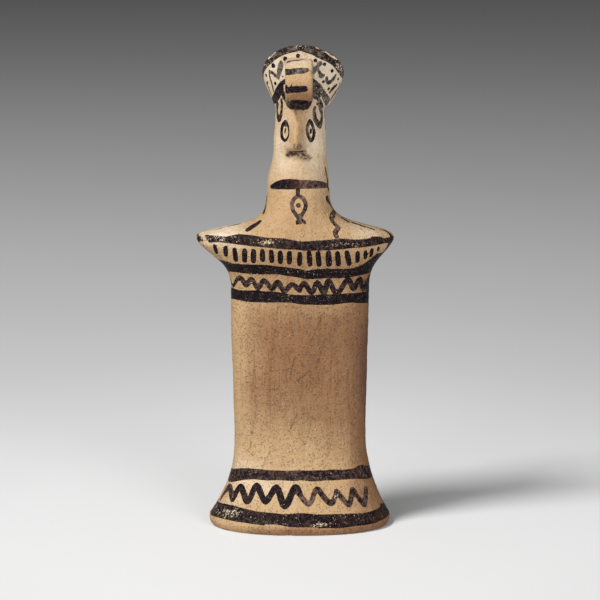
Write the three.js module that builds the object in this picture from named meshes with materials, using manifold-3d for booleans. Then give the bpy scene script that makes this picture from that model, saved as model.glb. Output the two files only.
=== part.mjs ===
// A small hand-modelled terracotta goddess: a flat board-like body on a flared foot, wing-like
// shoulders, a column of neck and head with a pinched nose, and a flared headdress that leans
// back, with a rolled clay strip on its front. It is one fired piece of clay.
//
// Millimetres, +Z up. The origin is the middle of the flat underside, and the front faces -Y.

import * as THREE from 'three';
import { mergeVertices } from 'three/addons/utils/BufferGeometryUtils.js';
import Module from 'manifold-3d';

const wasm = await Module();
wasm.setup();

// Driving sizes. Each section is a closed ring round the figure: left, right, front and back are
// its reach from the axis, and square is how full its corners are (2 is an ellipse).
const figureHeight = 200;

const foot = { height: 3.2, left: 37.9, right: 37.6, front: 24.9, back: 22.6, square: 2.3 };
const footEdge = 1.5;
const footFlare = { left: 2.4, right: 1.9, depth: 2.2 };
const waist = { height: 38, left: 27.3, right: 27.5, front: 12.4, back: 11.8, square: 2.6 };
const breast = { height: 98, left: 28.4, right: 28.5, front: 12.3, back: 11.6, square: 2.4 };
const rim = { height: 120.2, left: 42.6, right: 38.8, front: 16.6, back: 14.6, square: 1.72 };
const neck = { height: 142, left: 13.4, right: 12.0, front: 11.4, back: 10.6, square: 2.1 };
const cheek = { height: 157, left: 10.9, right: 10.7, front: 10.6, back: 10.2, square: 2.2 };
const brow = { height: 173.8, left: 10.1, right: 10.2, front: 10.4, back: 10.0, square: 2.2 };

// The headdress leans back: its rim is a ring whose front edge is the top of the figure. The flares
// say how its sides widen: 1 is straight, and less bulges.
const polos = {
  left: 15.2, right: 17.9, front: 12.0, back: 11.6, square: 2.0,
  backHeight: 175.8, flareLeft: 1.0, flareRight: 0.55, lip: 1.3, dish: 2.6,
};

const shoulderLine = { halfLeft: 0.235, halfRight: 0.265, fall: 3.2 };
const shoulderFlare = 1.7;
const chestHollow = 1.6;
const nose = { across: -1.5, halfWidth: 3.2, out: 7.6, bottom: 156.4, tip: 159.2, top: 177 };
const volute = {
  width: 10.9, across: -0.3, middleHeight: 184.6, middleFront: 15.6,
  halfHeight: 10.2, halfDepth: 8.6, edge: 1.3,
  groove: 0.8, grooveWidth: 1.1, grooveOuter: 0.7, grooveInner: 0.16, turns: 1.6,
};

// How finely the rings are cut: points round each ring, and rings in each stretch of the figure.
const columns = 56;
const rows = { edge: 4, flare: 12, body: 5, wing: 12, shoulder: 16, throat: 6, face: 8, polos: 9, dish: 5 };
const rollSteps = { edge: 2, curve: 16, groove: 26 };

const clay = new THREE.MeshStandardMaterial({ color: 0xcfb08a, roughness: 0.86, metalness: 0 });

const mix = (a, b, t) => a + (b - a) * t;
const smooth = (t) => t * t * (3 - 2 * t);
const clamp01 = (t) => Math.min(1, Math.max(0, t));

// The rings from section a up to section b, without the last. Each ease says how far a side has
// gone from a to b at a share of the height.
function stretch(a, b, steps, leftEase, rightEase = leftEase, depthEase = leftEase) {
  return Array.from({ length: steps }, (_, i) => {
    const t = i / steps;
    const height = mix(a.height, b.height, t);
    return {
      left: mix(a.left, b.left, leftEase(t)),
      right: mix(a.right, b.right, rightEase(t)),
      front: mix(a.front, b.front, depthEase(t)),
      back: mix(a.back, b.back, depthEase(t)),
      square: mix(a.square, b.square, depthEase(t)),
      low: height,
      high: height,
    };
  });
}

// Fast at first, then slower: how a hollow curve leaves a widened edge.
const hollow = (power) => (t) => 1 - (1 - t) ** power;

// The flat underside turns up into the widest part of the foot over a small rounded edge.
function footRings() {
  const rings = [];
  for (let i = 0; i < rows.edge; i += 1) {
    const angle = (i / rows.edge) * Math.PI / 2;
    const inset = footEdge * (1 - Math.sin(angle));
    const height = foot.height * (1 - Math.cos(angle));
    rings.push({
      left: foot.left - inset,
      right: foot.right - inset,
      front: foot.front - inset,
      back: foot.back - inset,
      square: foot.square,
      low: height,
      high: height,
    });
  }
  return rings;
}

// The top of a shoulder: it has come half the way in to the neck at the share half of its rise.
const shoulderSlope = (half) => (t) => {
  const line = (u) => 1 / (1 + (u / half) ** shoulderLine.fall);
  return (line(0) - line(t)) / (line(0) - line(1));
};

// From the brow to the rim of the headdress the rings tip back as they widen.
function polosRings(steps) {
  const rings = [];
  for (let i = 0; i <= steps; i += 1) {
    const t = i / steps;
    rings.push({
      left: mix(brow.left, polos.left, t ** polos.flareLeft),
      right: mix(brow.right, polos.right, t ** polos.flareRight),
      front: mix(brow.front, polos.front, t),
      back: mix(brow.back, polos.back, t),
      square: mix(brow.square, polos.square, t),
      low: mix(brow.height, polos.backHeight, t),
      high: mix(brow.height, figureHeight, t),
    });
  }
  return rings;
}

// Inside the lip the top of the headdress is a shallow dish.
function dishRings(steps) {
  const leanAngle = Math.atan2(figureHeight - polos.backHeight, polos.front + polos.back);
  const lipShare = 1 - polos.lip / polos.left;
  const rings = [];
  for (let i = 0; i < steps; i += 1) {
    const share = lipShare * (1 - i / steps);
    const sink = polos.dish * (1 - (share / lipShare) ** 2);
    const middle = mix(polos.backHeight, figureHeight, polos.back / (polos.front + polos.back));
    rings.push({
      left: polos.left * share,
      right: polos.right * share,
      front: polos.front * share,
      back: polos.back * share,
      square: polos.square,
      low: mix(middle, polos.backHeight, share) - sink * Math.cos(leanAngle),
      high: mix(middle, figureHeight, share) - sink * Math.cos(leanAngle),
      shift: -sink * Math.sin(leanAngle),
    });
  }
  return rings;
}

const signedPower = (value, power) => Math.sign(value) * Math.abs(value) ** power;

// How far the pinched nose stands out of the face at a height and a place across.
function noseAt(x, z) {
  const rise = smooth(clamp01((z - nose.bottom) / (nose.tip - nose.bottom)));
  const fade = clamp01((nose.top - z) / (nose.top - nose.tip));
  const across = Math.exp(-(((x - nose.across) / nose.halfWidth) ** 2));
  return nose.out * rise * fade * across;
}

// One ring's points, anticlockwise from above, starting at the right side.
function ringPoints(ring) {
  const points = [];
  const deep = ring.front + ring.back;
  for (let i = 0; i < columns; i += 1) {
    const angle = (i / columns) * 2 * Math.PI;
    const across = signedPower(Math.cos(angle), 2 / ring.square);
    const along = signedPower(Math.sin(angle), 2 / ring.square);
    const x = across * (across > 0 ? ring.right : ring.left);
    let y = along * (along > 0 ? ring.back : ring.front);
    const z = mix(ring.low, ring.high, (ring.back - y) / deep);
    if (along < 0) {
      y -= noseAt(x, z);
    }
    points.push(new THREE.Vector3(x, y + (ring.shift ?? 0), z));
  }
  return points;
}

function ringMiddle(points) {
  const sum = new THREE.Vector3();
  points.forEach((point) => sum.add(point));
  return sum.divideScalar(points.length);
}

// A closed skin over a stack of rings, with a fan at each end.
function loft(rings) {
  const loops = rings.map(ringPoints);
  const points = loops.flat();
  const faces = [];
  for (let row = 0; row + 1 < loops.length; row += 1) {
    for (let i = 0; i < columns; i += 1) {
      const next = (i + 1) % columns;
      const a = row * columns + i;
      const b = row * columns + next;
      const c = a + columns;
      const d = b + columns;
      faces.push(a, b, d, a, d, c);
    }
  }
  const bottom = points.push(ringMiddle(loops[0])) - 1;
  const top = points.push(ringMiddle(loops.at(-1))) - 1;
  const last = (loops.length - 1) * columns;
  for (let i = 0; i < columns; i += 1) {
    const next = (i + 1) % columns;
    faces.push(bottom, next, i);
    faces.push(top, last + i, last + next);
  }
  const flat = points.flatMap((point) => point.toArray());
  const geometry = new THREE.BufferGeometry();
  geometry.setAttribute('position', new THREE.Float32BufferAttribute(flat, 3));
  geometry.setIndex(faces);
  return geometry;
}

function bodyGeometry() {
  const leftShoulder = shoulderSlope(shoulderLine.halfLeft);
  const rightShoulder = shoulderSlope(shoulderLine.halfRight);
  const leftFlare = hollow(footFlare.left);
  const rightFlare = hollow(footFlare.right);
  return loft([
    ...footRings(),
    ...stretch(foot, waist, rows.flare, leftFlare, rightFlare, hollow(footFlare.depth)),
    ...stretch(waist, breast, rows.body, smooth),
    ...stretch(breast, rim, rows.wing, (t) => smooth(t ** shoulderFlare)),
    ...stretch(rim, neck, rows.shoulder, leftShoulder, rightShoulder, hollow(chestHollow)),
    ...stretch(neck, cheek, rows.throat, smooth),
    ...stretch(cheek, brow, rows.face, smooth),
    ...polosRings(rows.polos),
    ...dishRings(rows.dish),
  ]);
}

// An extruded outline in the figure's side view, laid so that its length runs across the figure.
function acrossFigure(outline, width, bevel = { bevelEnabled: false }) {
  const geometry = new THREE.ExtrudeGeometry(outline, { depth: width, ...bevel });
  geometry.translate(0, 0, -width / 2);
  // The outline's own x is how far forward, its y is the height.
  geometry.applyMatrix4(new THREE.Matrix4().set(
    0, 0, -1, volute.across,
    -1, 0, 0, 0,
    0, 1, 0, 0,
    0, 0, 0, 1,
  ));
  return geometry;
}

// The rolled strip: an egg-shaped roll with softened ends.
function rollGeometry() {
  const outline = new THREE.Shape();
  outline.absellipse(
    volute.middleFront,
    volute.middleHeight,
    volute.halfDepth - volute.edge,
    volute.halfHeight - volute.edge,
    0,
    2 * Math.PI,
  );
  return acrossFigure(outline, volute.width - 2 * volute.edge, {
    bevelEnabled: true,
    bevelThickness: volute.edge,
    bevelSize: volute.edge,
    bevelSegments: rollSteps.edge,
    curveSegments: rollSteps.curve,
  });
}

// The groove between the turns of the roll, cut into one of its ends.
function grooveGeometry() {
  const side = (offset) => Array.from({ length: rollSteps.groove + 1 }, (_, i) => {
    const share = i / rollSteps.groove;
    const angle = Math.PI / 2 - share * volute.turns * 2 * Math.PI;
    const reach = mix(volute.grooveOuter, volute.grooveInner, share);
    return new THREE.Vector2(
      volute.middleFront + Math.cos(angle) * (volute.halfDepth * reach + offset),
      volute.middleHeight + Math.sin(angle) * (volute.halfHeight * reach + offset),
    );
  });
  const outline = new THREE.Shape([
    ...side(volute.grooveWidth / 2),
    ...side(-volute.grooveWidth / 2).reverse(),
  ]);
  return acrossFigure(outline, 2 * volute.groove);
}

function solidOf(geometry) {
  const plain = geometry.clone();
  plain.deleteAttribute('normal');
  plain.deleteAttribute('uv');
  const merged = mergeVertices(plain, 1e-4);
  return new wasm.Manifold(new wasm.Mesh({
    numProp: 3,
    vertProperties: new Float32Array(merged.attributes.position.array),
    triVerts: new Uint32Array(merged.index.array),
  }));
}

function geometryOf(solid) {
  const mesh = solid.getMesh();
  const geometry = new THREE.BufferGeometry();
  geometry.setAttribute('position', new THREE.BufferAttribute(mesh.vertProperties, 3));
  geometry.setIndex(new THREE.BufferAttribute(mesh.triVerts, 1));
  geometry.computeVertexNormals();
  return geometry;
}

function figurine() {
  let roll = solidOf(rollGeometry());
  for (const end of [-1, 1]) {
    const groove = grooveGeometry();
    groove.translate(end * volute.width / 2, 0, 0);
    roll = roll.subtract(solidOf(groove));
  }
  const solid = solidOf(bodyGeometry()).add(roll);
  const mesh = new THREE.Mesh(geometryOf(solid), clay);
  mesh.name = 'goddess_figurine';
  return mesh;
}

const model = new THREE.Group();
model.name = 'terracotta_goddess';
model.add(figurine());

export default model;
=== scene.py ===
import math

import bpy
import numpy as np
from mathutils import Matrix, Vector, kdtree, noise


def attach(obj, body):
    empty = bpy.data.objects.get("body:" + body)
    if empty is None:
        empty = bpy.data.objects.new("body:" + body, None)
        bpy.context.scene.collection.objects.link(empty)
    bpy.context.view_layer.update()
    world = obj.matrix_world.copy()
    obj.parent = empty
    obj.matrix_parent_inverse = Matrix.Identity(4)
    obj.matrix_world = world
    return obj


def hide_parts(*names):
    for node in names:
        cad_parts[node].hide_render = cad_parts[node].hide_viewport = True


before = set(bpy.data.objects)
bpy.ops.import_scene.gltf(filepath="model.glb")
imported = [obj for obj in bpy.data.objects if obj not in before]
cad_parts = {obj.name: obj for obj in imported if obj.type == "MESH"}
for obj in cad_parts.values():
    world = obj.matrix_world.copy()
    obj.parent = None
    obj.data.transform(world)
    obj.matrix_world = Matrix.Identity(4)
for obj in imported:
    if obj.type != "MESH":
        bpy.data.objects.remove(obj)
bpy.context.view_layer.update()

MM = 0.001
NODE = "goddess_figurine"

# The form, in millimetres, as in the CAD part: each section is a closed ring round the figure.
# Reaches are left, right, front, back of the axis, and square is 2 for an ellipse.
FIGURE_HEIGHT = 200.0
SECTION = {
    "foot": dict(height=3.2, left=37.9, right=37.6, front=24.9, back=22.6, square=2.3),
    "waist": dict(height=38, left=27.3, right=27.5, front=12.4, back=11.8, square=2.6),
    "breast": dict(height=98, left=28.4, right=28.5, front=12.3, back=11.6, square=2.4),
    "rim": dict(height=120.2, left=42.6, right=38.8, front=16.6, back=14.6, square=1.72),
    "neck": dict(height=142, left=13.4, right=12.0, front=11.4, back=10.6, square=2.1),
    "cheek": dict(height=157, left=10.9, right=10.7, front=10.6, back=10.2, square=2.2),
    "brow": dict(height=173.8, left=10.1, right=10.2, front=10.4, back=10.0, square=2.2),
}
FOOT_EDGE = 1.5
FOOT_FLARE = dict(left=2.4, right=1.9, depth=2.2)
SHOULDER_HALF = dict(left=0.235, right=0.265)
SHOULDER_FALL = 3.2
SHOULDER_FLARE = 1.7
CHEST_HOLLOW = 1.6
POLOS = dict(left=15.2, right=17.9, front=12.0, back=11.6, square=2.0)
POLOS_BACK_HEIGHT = 175.8
POLOS_FLARE = dict(left=1.0, right=0.55)
POLOS_LIP = 1.3
POLOS_DISH = 2.6
NOSE = dict(across=-1.5, half_width=3.2, out=7.6, bottom=156.4, tip=159.2, top=177)
VOLUTE = dict(
    width=10.9, across=-0.3, height=184.6, front=15.6, half_height=10.2, half_depth=8.6,
    edge=1.3, groove=0.8, groove_width=1.1,
)

# Finer forms that only the skin has: a hollow pressed in below the nose.
NOSE_HOLLOW = dict(across=-1.0, height=153.6, half_width=4.4, half_height=2.2, depth=0.9)

# The camera stands where the photograph's stood: its picture is 600 pixels square.
PHOTO_SIDE = 600
PHOTO_FOCAL = 2419.0
CAMERA_DISTANCE = 1000.0
CAMERA_ELEVATION = math.radians(10)
AIM_HEIGHT = 94.07
AIM_ACROSS = 0.12
PIXEL = CAMERA_DISTANCE / PHOTO_FOCAL

# Points round each ring, and how much closer together they are in front than behind.
COLUMNS = 172
FRONT_CROWDING = 0.42


def smooth(t):
    return t * t * (3 - 2 * t)


def clamp01(t):
    return np.clip(t, 0, 1)


def mix(a, b, t):
    return a + (b - a) * t


# Rings of the figure. Each ring is a section with low and high, its heights at the back and at the
# front, and a shift to the back.
REACHES = ("left", "right", "front", "back")


def ring(section, low, high=None, shift=0.0):
    return dict(section, low=low, high=low if high is None else high, shift=shift)


def smaller(section, inset=0.0, share=1.0):
    """A section whose reaches are drawn in by an inset and then to a share."""
    made = {key: (section[key] - inset) * share for key in REACHES}
    return dict(made, square=section["square"])


def stretch(start, end, steps, left_ease, right_ease=None, depth_ease=None):
    """Rings from one section to another, along a curve for each side and one for the depth."""
    a, b = SECTION[start], SECTION[end]
    eases = dict.fromkeys((*REACHES, "square"), depth_ease or left_ease)
    eases.update(left=left_ease, right=right_ease or left_ease)
    rings = []
    for i in range(steps):
        t = i / steps
        section = {key: mix(a[key], b[key], ease(t)) for key, ease in eases.items()}
        rings.append(ring(section, mix(a["height"], b["height"], t)))
    return rings


def hollow(power):
    return lambda t: 1 - (1 - t) ** power


def shoulder_slope(half):
    def line(u):
        return 1 / (1 + (u / half) ** SHOULDER_FALL)
    return lambda t: (line(0) - line(t)) / (line(0) - line(1))


def underside_rings(steps):
    foot = SECTION["foot"]
    return [ring(smaller(foot, FOOT_EDGE, i / steps), 0.0) for i in range(1, steps)]


def foot_edge_rings(steps):
    foot = SECTION["foot"]
    rings = []
    for i in range(steps):
        angle = i / steps * math.pi / 2
        section = smaller(foot, FOOT_EDGE * (1 - math.sin(angle)))
        rings.append(ring(section, foot["height"] * (1 - math.cos(angle))))
    return rings


def polos_rings(steps):
    brow = SECTION["brow"]
    rings = []
    for i in range(steps + 1):
        t = i / steps
        section = {key: mix(brow[key], POLOS[key], t ** POLOS_FLARE.get(key, 1)) for key in POLOS}
        low = mix(brow["height"], POLOS_BACK_HEIGHT, t)
        rings.append(ring(section, low, mix(brow["height"], FIGURE_HEIGHT, t)))
    return rings


def dish_rings(steps):
    deep = POLOS["front"] + POLOS["back"]
    lean = math.atan2(FIGURE_HEIGHT - POLOS_BACK_HEIGHT, deep)
    middle = mix(POLOS_BACK_HEIGHT, FIGURE_HEIGHT, POLOS["back"] / deep)
    lip_share = 1 - POLOS_LIP / POLOS["left"]
    rings = []
    for i in range(steps):
        share = lip_share * (1 - i / steps)
        sink = POLOS_DISH * (1 - (share / lip_share) ** 2)
        fall = sink * math.cos(lean)
        low = mix(middle, POLOS_BACK_HEIGHT, share) - fall
        high = mix(middle, FIGURE_HEIGHT, share) - fall
        rings.append(ring(smaller(POLOS, share=share), low, high, -sink * math.sin(lean)))
    return rings


def nose_out(x, z):
    rise = smooth(clamp01((z - NOSE["bottom"]) / (NOSE["tip"] - NOSE["bottom"])))
    fade = clamp01((NOSE["top"] - z) / (NOSE["top"] - NOSE["tip"]))
    across = np.exp(-(((x - NOSE["across"]) / NOSE["half_width"]) ** 2))
    return NOSE["out"] * rise * fade * across


def hollow_in(x, z):
    across = (x - NOSE_HOLLOW["across"]) / NOSE_HOLLOW["half_width"]
    up = (z - NOSE_HOLLOW["height"]) / NOSE_HOLLOW["half_height"]
    return NOSE_HOLLOW["depth"] * np.exp(-across ** 2 - up ** 2)


# Steps round a ring before its points are spaced along it.
DENSE = 1440


def ring_points(values):
    """A ring's points, anticlockwise from above, starting at the back."""
    angle = np.arange(DENSE + 1) / DENSE * 2 * math.pi + math.pi / 2
    power = 2 / values["square"]
    across = np.sign(np.cos(angle)) * np.abs(np.cos(angle)) ** power
    along = np.sign(np.sin(angle)) * np.abs(np.sin(angle)) ** power
    x = np.where(across > 0, values["right"], values["left"]) * across
    y = np.where(along > 0, values["back"], values["front"]) * along
    gone = np.concatenate([[0], np.cumsum(np.hypot(np.diff(x), np.diff(y)))])
    share = np.arange(COLUMNS) / COLUMNS
    share = share + FRONT_CROWDING * np.sin(2 * math.pi * share) / (2 * math.pi)
    x, y = np.interp(share * gone[-1], gone, x), np.interp(share * gone[-1], gone, y)
    deep = values["front"] + values["back"]
    z = mix(values["low"], values["high"], (values["back"] - y) / deep)
    y = np.where(y < 0, y - nose_out(x, z) + hollow_in(x, z), y) + values["shift"]
    return np.stack([x, y, z], axis=1)


# The parts of the stack of rings, from the middle of the underside to the middle of the dish.
STACK = [
    ("underside", underside_rings(6)),
    ("edge", foot_edge_rings(8)),
    ("flare", stretch("foot", "waist", 80, hollow(FOOT_FLARE["left"]),
                      hollow(FOOT_FLARE["right"]), hollow(FOOT_FLARE["depth"]))),
    ("body", stretch("waist", "breast", 84, smooth)),
    ("wing", stretch("breast", "rim", 62, lambda t: smooth(t ** SHOULDER_FLARE))),
    ("shoulder", stretch("rim", "neck", 82, shoulder_slope(SHOULDER_HALF["left"]),
                         shoulder_slope(SHOULDER_HALF["right"]), hollow(CHEST_HOLLOW))),
    ("throat", stretch("neck", "cheek", 38, smooth)),
    ("face", stretch("cheek", "brow", 52, smooth)),
    ("polos", polos_rings(66)),
    ("dish", dish_rings(16)),
]
FIRST_ROW = {}
RINGS = []
for part_name, part_rings in STACK:
    FIRST_ROW[part_name] = len(RINGS)
    RINGS += part_rings
ROWS = len(RINGS)
RIM_ROW = FIRST_ROW["dish"] - 1


def normals_of(grid):
    along = np.roll(grid, -1, axis=1) - np.roll(grid, 1, axis=1)
    up = np.gradient(grid, axis=0)
    out = np.cross(along, up)
    return out / np.maximum(np.linalg.norm(out, axis=2, keepdims=True), 1e-9)


def noise_at(points, scale, seed):
    """Smooth noise, about -1 to 1, with features the size of scale in each direction."""
    scaled = points / np.asarray(scale, float) + seed
    values = [noise.noise(Vector(p)) for p in scaled.reshape(-1, 3).tolist()]
    return np.array(values).reshape(points.shape[:-1])


def seen(points):
    """Where the camera sees points, in the photograph's pixels."""
    sin, cos = math.sin(CAMERA_ELEVATION), math.cos(CAMERA_ELEVATION)
    height = points[..., 2] - AIM_HEIGHT
    up = points[..., 1] * sin + height * cos
    depth = CAMERA_DISTANCE + points[..., 1] * cos - height * sin
    middle = PHOTO_SIDE / 2
    across = middle + PHOTO_FOCAL * (points[..., 0] - AIM_ACROSS) / depth
    return across, middle - PHOTO_FOCAL * up / depth


# The camera, in millimetres.
CAMERA_PLACE = np.array([
    AIM_ACROSS,
    -CAMERA_DISTANCE * math.cos(CAMERA_ELEVATION),
    AIM_HEIGHT + CAMERA_DISTANCE * math.sin(CAMERA_ELEVATION),
])


def rounded(values, steps=5):
    """Rows of values joined by a smooth curve through all of them."""
    if len(values) < 3:
        return values
    padded = np.concatenate([values[:1], values, values[-1:]])
    before, a, b, after = [padded[k:len(padded) - 3 + k, None] for k in range(4)]
    t = (np.arange(steps) / steps)[:, None]
    curve = a + (b - before) * t / 2
    curve = curve + (2 * before - 5 * a + 4 * b - after) * t ** 2 / 2
    curve = curve + (3 * a - before - 3 * b + after) * t ** 3 / 2
    return np.concatenate([curve.reshape(-1, values.shape[1]), values[-1:]])


def line_gap(points, a, b):
    """How far points are from a straight line, and the share of the way along it."""
    along = points - a
    step = b - a
    share = clamp01(along @ step / max(step @ step, 1e-9))
    return np.linalg.norm(along - share[:, None] * step, axis=1), share


def stroke_gap(points, places, widths, reach):
    """The points near a stroke, and their distances from its edge, negative inside it."""
    room = reach + widths.max() / 2
    low, high = places.min(axis=0) - room, places.max(axis=0) + room
    near = np.nonzero(np.all((points > low) & (points < high), axis=1))[0]
    gap = np.full(len(near), np.inf)
    for a, b, wide_a, wide_b in zip(places, places[1:], widths, widths[1:]):
        away, share = line_gap(points[near], a, b)
        gap = np.minimum(gap, away - mix(wide_a, wide_b, share) / 2)
    return near, gap


def outline_gap(pixels, outline):
    """Distances of pixels from a closed outline, negative inside it."""
    outline = np.array(outline, float)
    gap = np.full(len(pixels), np.inf)
    inside = np.zeros(len(pixels), bool)
    for a, b in zip(outline, np.roll(outline, -1, axis=0)):
        gap = np.minimum(gap, line_gap(pixels, a, b)[0])
        across, down = (pixels - a).T
        if a[1] != b[1]:
            crossed = across < down / (b[1] - a[1]) * (b[0] - a[0])
            inside ^= ((a[1] > pixels[:, 1]) != (b[1] > pixels[:, 1])) & crossed
    return np.where(inside, -gap, gap)


# Paint is kept as a distance in millimetres from its nearest edge, negative inside a stroke.
FAR = 4.0

# How far the thin slip spreads beyond the brush, in millimetres of a stroke's width.
BRUSH_SPREAD = 0.22

# Pixels added to a point that faces away, and the most rows or columns from a point to a spot.
HIDDEN = 1000
SPOT_STEP = 0.7


class Skin:
    """A grid of points over a surface, and what is painted on it: how far each point is from an edge of
    the paint, how faded and how worn the paint is, with glints painted as flaking, how brown or pale the
    clay is, with painted light and shade, and how stained, with painted shadows."""

    def __init__(self, grid, normal):
        self.grid = grid
        self.points = grid.reshape(-1, 3)
        self.rows, self.columns = grid.shape[:2]
        self.px, self.py = seen(grid)
        self.facing = np.einsum("rck,rck->rc", normal, CAMERA_PLACE - grid) > 0
        self.paint = np.full(len(self.points), FAR)
        self.faded, self.worn, self.tone, self.stain_and_shadow = np.zeros((4, len(self.points)))

    def at(self, row, column):
        """The surface at a row and a column, between its points too."""
        row = min(max(row, 0), self.rows - 1.001)
        low, first = int(row), int(math.floor(column))
        corners = self.grid[low:low + 2, [first % self.columns, (first + 1) % self.columns]]
        lower, upper = mix(corners[:, 0], corners[:, 1], column - first)
        return mix(lower, upper, row - low)

    def spot(self, px, py):
        """The row and column of the surface seen at a pixel of the photograph."""
        gap = np.hypot(self.px - px, self.py - py) + np.where(self.facing, 0, HIDDEN)
        row, column = np.unravel_index(np.argmin(gap), gap.shape)
        row = min(max(row, 1), self.rows - 2)
        after, before = (column + 1) % self.columns, (column - 1) % self.columns
        slopes = np.array([
            (p[row + 1, column] - p[row - 1, column], p[row, after] - p[row, before])
            for p in (self.px, self.py)
        ]) / 2
        missing = np.array([px - self.px[row, column], py - self.py[row, column]])
        if abs(np.linalg.det(slopes)) < 1e-3:
            return float(row), float(column)
        step = np.clip(np.linalg.solve(slopes, missing), -SPOT_STEP, SPOT_STEP)
        return row + step[0], column + step[1]

    def place(self, px, py):
        return self.at(*self.spot(px, py))

    def brush(self, places, widths, faded=0.0):
        """A stroke of paint through places on the surface, its widths in millimetres."""
        near, gap = stroke_gap(self.points, *self.route(places, widths), FAR)
        self.lay(near, gap - BRUSH_SPREAD / 2, faded)

    def route(self, places, widths):
        """A smooth line through places; one place alone makes a dot."""
        places = np.array(places, float)
        if len(places) == 1:
            places = np.repeat(places, 2, axis=0)
        widths = np.broadcast_to(np.asarray(widths, float), len(places))
        curve = rounded(np.column_stack([places, widths]))
        return curve[:, :3], curve[:, 3]

    def lay(self, near, gap, faded):
        over = gap < self.paint[near]
        self.paint[near[over]] = gap[over]
        self.faded[near[over]] = faded

    def on_front(self, pixels, widths):
        """The places seen at pixels of the photograph, and widths from pixels to millimetres."""
        return [self.place(*p) for p in pixels], np.asarray(widths) * PIXEL

    def front_brush(self, pixels, widths, faded=0.0):
        """A stroke through pixels of the photograph, its widths in pixels."""
        self.brush(*self.on_front(pixels, widths), faded)

    def front_area(self, outline, faded=0.0):
        """Paint inside an outline drawn on the photograph."""
        near = np.nonzero(self.facing.ravel())[0]
        pixels = np.column_stack([self.px.ravel(), self.py.ravel()])[near]
        gap = outline_gap(pixels, outline) * PIXEL
        self.lay(near, np.clip(gap, -FAR, FAR), faded)

    def area(self, gap, faded=0.0):
        self.lay(np.arange(len(self.points)), np.clip(gap, -FAR, FAR).ravel(), faded)

    def bare(self, pixels, widths):
        """A place where the paint is gone, as a stroke in pixels."""
        near, gap = stroke_gap(self.points, *self.route(*self.on_front(pixels, widths)), FAR)
        self.paint[near] = np.maximum(self.paint[near], -gap)

    def wear_and_glint(self, pixel, reach, amount):
        """Fine flaking of the paint round a pixel, with its reach across and up in pixels; on the crest
        of the rim it stands for painted glints.
        """
        away = ((self.px - pixel[0]) / reach[0]) ** 2 + ((self.py - pixel[1]) / reach[1]) ** 2
        self.worn += (amount * np.exp(-away) * self.facing).ravel()

    def smear_and_shadow(self, pixels, widths, amount, soft):
        """A soft brown stroke in the clay, for stains and for painted shadows, in pixels, that fades out
        over soft pixels.
        """
        route = self.route(*self.on_front(pixels, widths))
        near, gap = stroke_gap(self.points, *route, soft * PIXEL)
        strength = amount * smooth(clamp01(1 - gap / (soft * PIXEL)))
        self.stain_and_shadow[near] = np.maximum(self.stain_and_shadow[near], strength)

    def tint_and_shading(self, centre, reach, amount):
        """Browner clay round a place, or paler where the amount is below nought: the clay's tone, and
        painted light and shade.
        """
        away = (self.points - np.array(centre, float)) / np.array(reach, float)
        self.tone += amount * np.exp(-(away ** 2).sum(axis=1))


def uneven(grid, normal, layers, share=1.0):
    """A surface pushed in and out by layers of noise, each a depth, a size and a seed."""
    for depth, size, seed in layers:
        grid = grid + normal * (depth * noise_at(grid, size, seed) * share)[..., None]
    return grid


# Hand-modelled unevenness: soft swellings, and long facets where the body was smoothed upward. It
# fades out towards the underside, between a start and a reach in millimetres.
UNEVEN = [(0.30, 17, 3.1), (0.12, 6.5, 11.7), (0.10, (3.2, 5.0, 30.0), 23.4), (0.10, 1.5, 5.9)]
EVEN_BELOW = dict(start=0.3, reach=3.0)
GRID = np.stack([ring_points(values) for values in RINGS])
ROW, COLUMN = np.meshgrid(np.arange(float(ROWS)), np.arange(float(COLUMNS)), indexing="ij")
above_floor = clamp01((GRID[..., 2] - EVEN_BELOW["start"]) / EVEN_BELOW["reach"])
GRID = uneven(GRID, normals_of(GRID), UNEVEN, above_floor)
NORMAL = normals_of(GRID)

# Chips and pits, each as a pixel, a radius and a depth in millimetres, with a ragged rim.
CHIPS = [
    ((291.8, 353), 0.8, 0.5), ((288, 533.6), 1.6, 0.7), ((199.6, 236.5), 2.0, 0.7),
    ((205.5, 240.5), 1.4, 0.4), ((386, 235), 1.8, 0.45), ((316.4, 330.4), 0.5, 0.35),
    ((262, 370), 0.7, 0.35), ((356.4, 365), 0.6, 0.35), ((271.4, 382.5), 0.6, 0.3),
    ((276, 451), 0.8, 0.35), ((292, 454), 0.8, 0.35), ((329.5, 449), 0.7, 0.35),
    ((307.3, 268.6), 0.9, 0.25), ((323, 268.2), 0.7, 0.2), ((322, 49.8), 1.5, 0.35),
    ((331, 56), 1.5, 0.3), ((272, 54.5), 1.2, 0.3), ((377.5, 513.5), 0.9, 0.35),
]
CHIP_RAGGED = 0.35
unchipped = Skin(GRID, NORMAL)
for pixel, radius, depth in CHIPS:
    away = np.linalg.norm(GRID - unchipped.place(*pixel), axis=2)
    away = away * (1 + CHIP_RAGGED * noise_at(GRID, radius, 41.0)) / radius
    GRID = GRID - NORMAL * (depth * np.exp(-away ** 4))[..., None]
NORMAL = normals_of(GRID)
ROW_SPACING = np.linalg.norm(np.gradient(GRID, axis=0), axis=2)
COLUMN_SPACING = np.linalg.norm(np.roll(GRID, -1, axis=1) - GRID, axis=2)
body = Skin(GRID, NORMAL)


# How far a painted edge strays, in rows, and how tightly its waves follow each other.
BAND_STRAYS = 1.2
EDGE_WAVES = 2.2


def edge_rows(pixels, strays, seed):
    """The row of a painted edge at every column, from pixels along it on the front. Round the
    back it runs from the last of them to the first."""
    columns, rows = zip(*sorted(body.spot(*p)[::-1] for p in pixels))
    columns = [columns[-1] - COLUMNS, *columns, columns[0] + COLUMNS]
    rows = [rows[-1], *rows, rows[0]]
    turns = np.arange(COLUMNS) / COLUMNS * 2 * math.pi
    places = [(math.cos(a) * EDGE_WAVES, math.sin(a) * EDGE_WAVES, seed) for a in turns]
    wave = [noise.noise(Vector(place)) for place in places]
    return np.interp(np.arange(COLUMNS), columns, rows) + strays * np.array(wave)


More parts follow.
